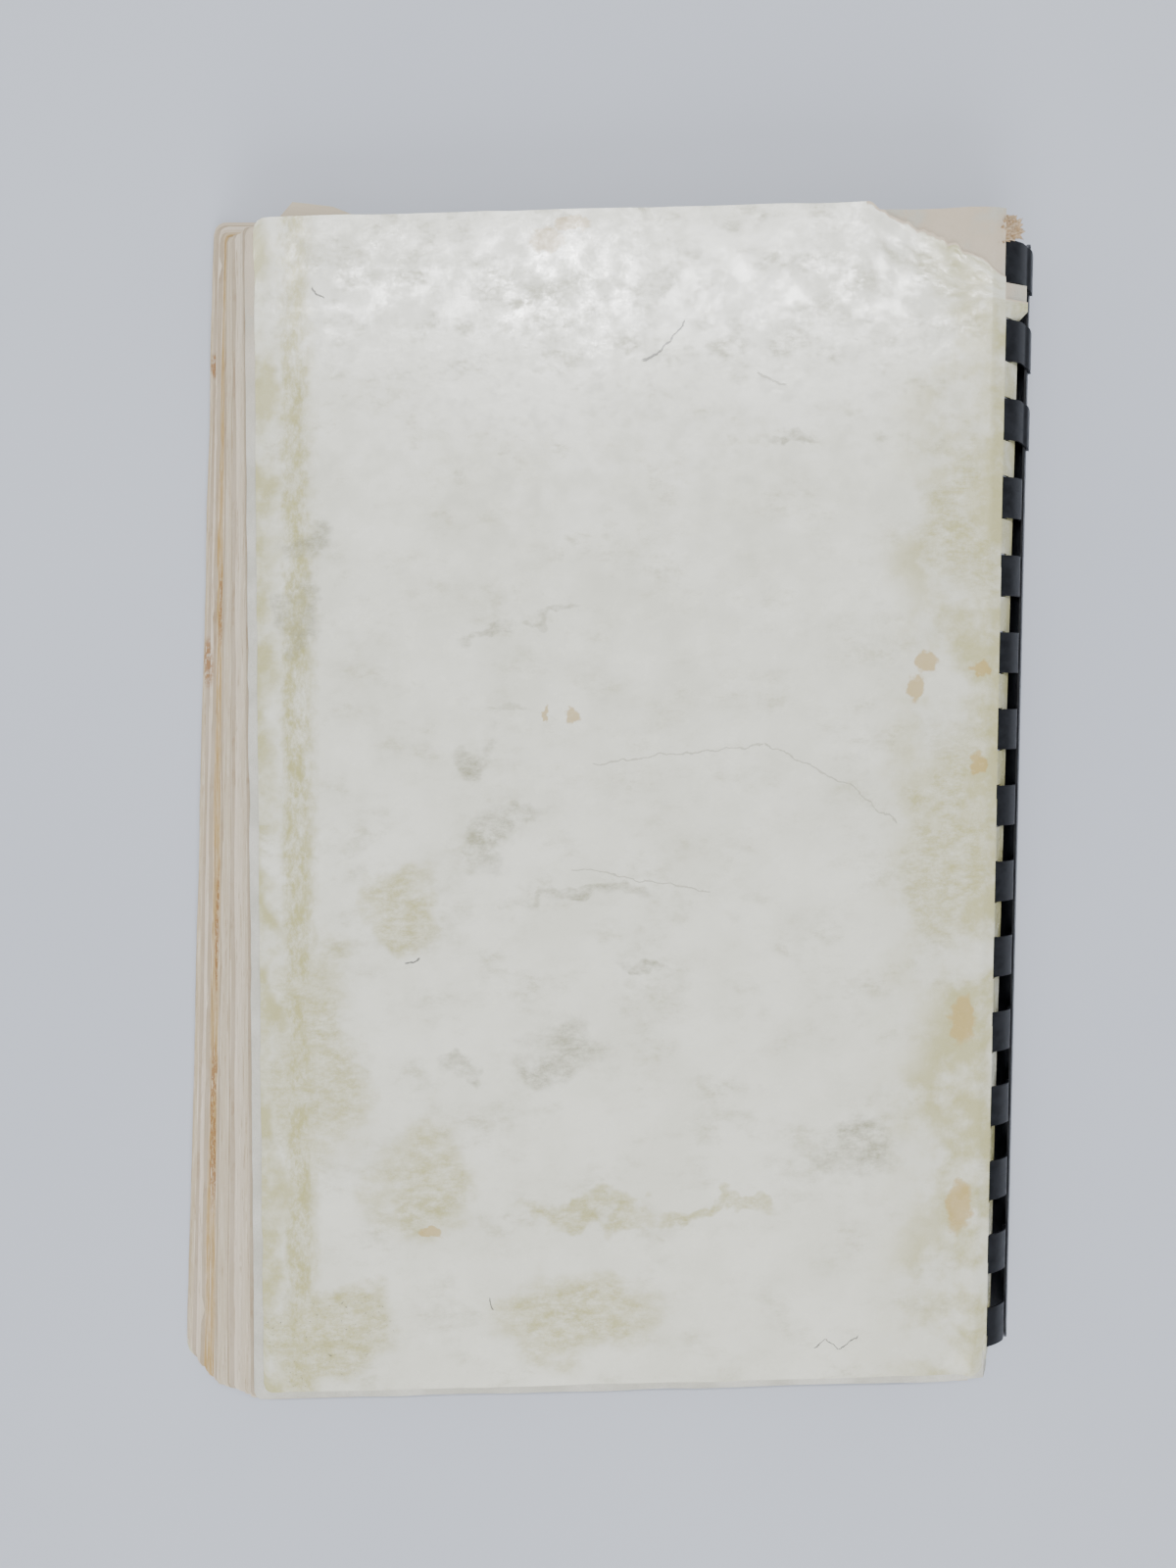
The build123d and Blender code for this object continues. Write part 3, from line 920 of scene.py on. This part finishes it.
scrap("torn_scrap_1", (5.2, 105.7, 9.6), (2.0, 1.7, 2.0), -20, 41)
scrap("torn_scrap_2", (3.4, 104.4, 10.4), (1.4, 1.2, 1.4), 10, 42)
scrap("torn_scrap_3", (4.8, 107.0, 10.0), (1.2, 1.1, 1.3), -5, 43)


# ---- floor, camera and light ----

def floor_material():
    m = Shader("floor_paper")
    geometry = m.nodes.new("ShaderNodeNewGeometry")
    drift = m.nodes.new("ShaderNodeTexNoise")
    m.links.new(geometry.outputs["Position"], drift.inputs["Vector"])
    drift.inputs["Scale"].default_value = 7.0
    drift.inputs["Detail"].default_value = 5.0
    base = m.mix(m.fade(drift.outputs["Fac"], 0.3, 0.7), FLOOR_DARK, FLOOR_PALE)
    m.set(Base_Color=base, Roughness=0.6, Specular_IOR_Level=0.3)
    return m.material


floor_mesh = bpy.data.meshes.new("floor")
floor_steps = np.linspace(-FLOOR_HALF, FLOOR_HALF, 9)
floor_points = [(x, y, 0.0) for x in floor_steps for y in floor_steps]
floor_faces = [
    (i * 9 + j, (i + 1) * 9 + j, (i + 1) * 9 + j + 1, i * 9 + j + 1)
    for i in range(8)
    for j in range(8)
]
floor_mesh.from_pydata(floor_points, [], floor_faces)
floor_mesh.materials.append(floor_material())
floor = bpy.data.objects.new("floor", floor_mesh)
bpy.context.scene.collection.objects.link(floor)

camera_data = bpy.data.cameras.new("camera")
camera_data.sensor_fit = "VERTICAL"
camera_data.sensor_height = 36.0
camera_data.lens = 36.0
camera_data.clip_start = 0.01
camera = bpy.data.objects.new("camera", camera_data)
turned = (
    Matrix.Rotation(radians(-3.465), 4, "Y")
    @ Matrix.Rotation(radians(-3.647), 4, "X")
    @ Matrix.Rotation(radians(0.281), 4, "Z")
)
camera_place = Vector((-0.02088, 0.02453, 0.30829))
camera.matrix_world = Matrix.Translation(camera_place) @ turned
bpy.context.scene.collection.objects.link(camera)
bpy.context.scene.camera = camera


def area_light(name, place, target, size, power, colour=(1, 1, 1), shape="SQUARE", spread=180):
    data = bpy.data.lights.new(name, "AREA")
    data.shape = shape
    data.size = size
    data.energy = power
    data.color = colour
    data.spread = radians(spread)
    light = bpy.data.objects.new(name, data)
    light.location = place
    light.rotation_euler = (Vector(target) - Vector(place)).to_track_quat("-Z", "Y").to_euler()
    bpy.context.scene.collection.objects.link(light)
    return light


middle = (Vector(cad_box[0]) + Vector(cad_box[1])) / 2
area_light("overhead", (-0.10, -0.45, 1.3), middle, 0.7, 2.0, (1.0, 0.99, 0.97))
area_light("tail", (0.05, -0.82, 0.6), middle, 0.6, 7.0, (0.98, 0.99, 1.0))
area_light("ceiling", (0.0, 0.0, 5.0), (0.0, 0.0, 0.0), 8.0, 90.0, (0.97, 0.98, 1.0))
area_light("fill_head", (0.9, 1.1, 1.3), middle, 1.0, 2.2, (0.95, 0.97, 1.0))
area_light("fill_fore", (-1.3, 0.2, 0.9), middle, 0.8, 2.0, (0.97, 0.98, 1.0))

# A row of small lamps stands where the gloss of the back cover's head mirrors it to the camera.
up = to_world([[0, 0, 1], [0, 0, 0]])
cover_up = Vector((up[0] - up[1]).tolist()).normalized()
cover_up = Matrix.Rotation(radians(DRAPE_SLOPE), 4, "Y") @ cover_up
for i in range(LAMPS):
    mirror_u = -125.0 + i * 118.0 / (LAMPS - 1)
    spot = Vector(to_world([[mirror_u, 95.0 + rng.normal(0, 0.8), 11.4]])[0])
    ray = (spot - camera_place).normalized()
    mirrored = ray - 2 * ray.dot(cover_up) * cover_up
    lamp_at = spot + mirrored * (LAMP_HEIGHT / mirrored.z)
    strength = 0.6 * (1.6 if i in BRIGHT_LAMPS else rng.uniform(0.6, 1.0))
    area_light(f"lamp_{i:02d}", lamp_at, spot, 0.022, strength, shape="DISK")

world = bpy.data.worlds.new("studio")
world.use_nodes = True
sky = world.node_tree.nodes["Background"]
sky.inputs["Color"].default_value = (0.83, 0.87, 0.95, 1)
sky.inputs["Strength"].default_value = 0.4
bpy.context.scene.world = world
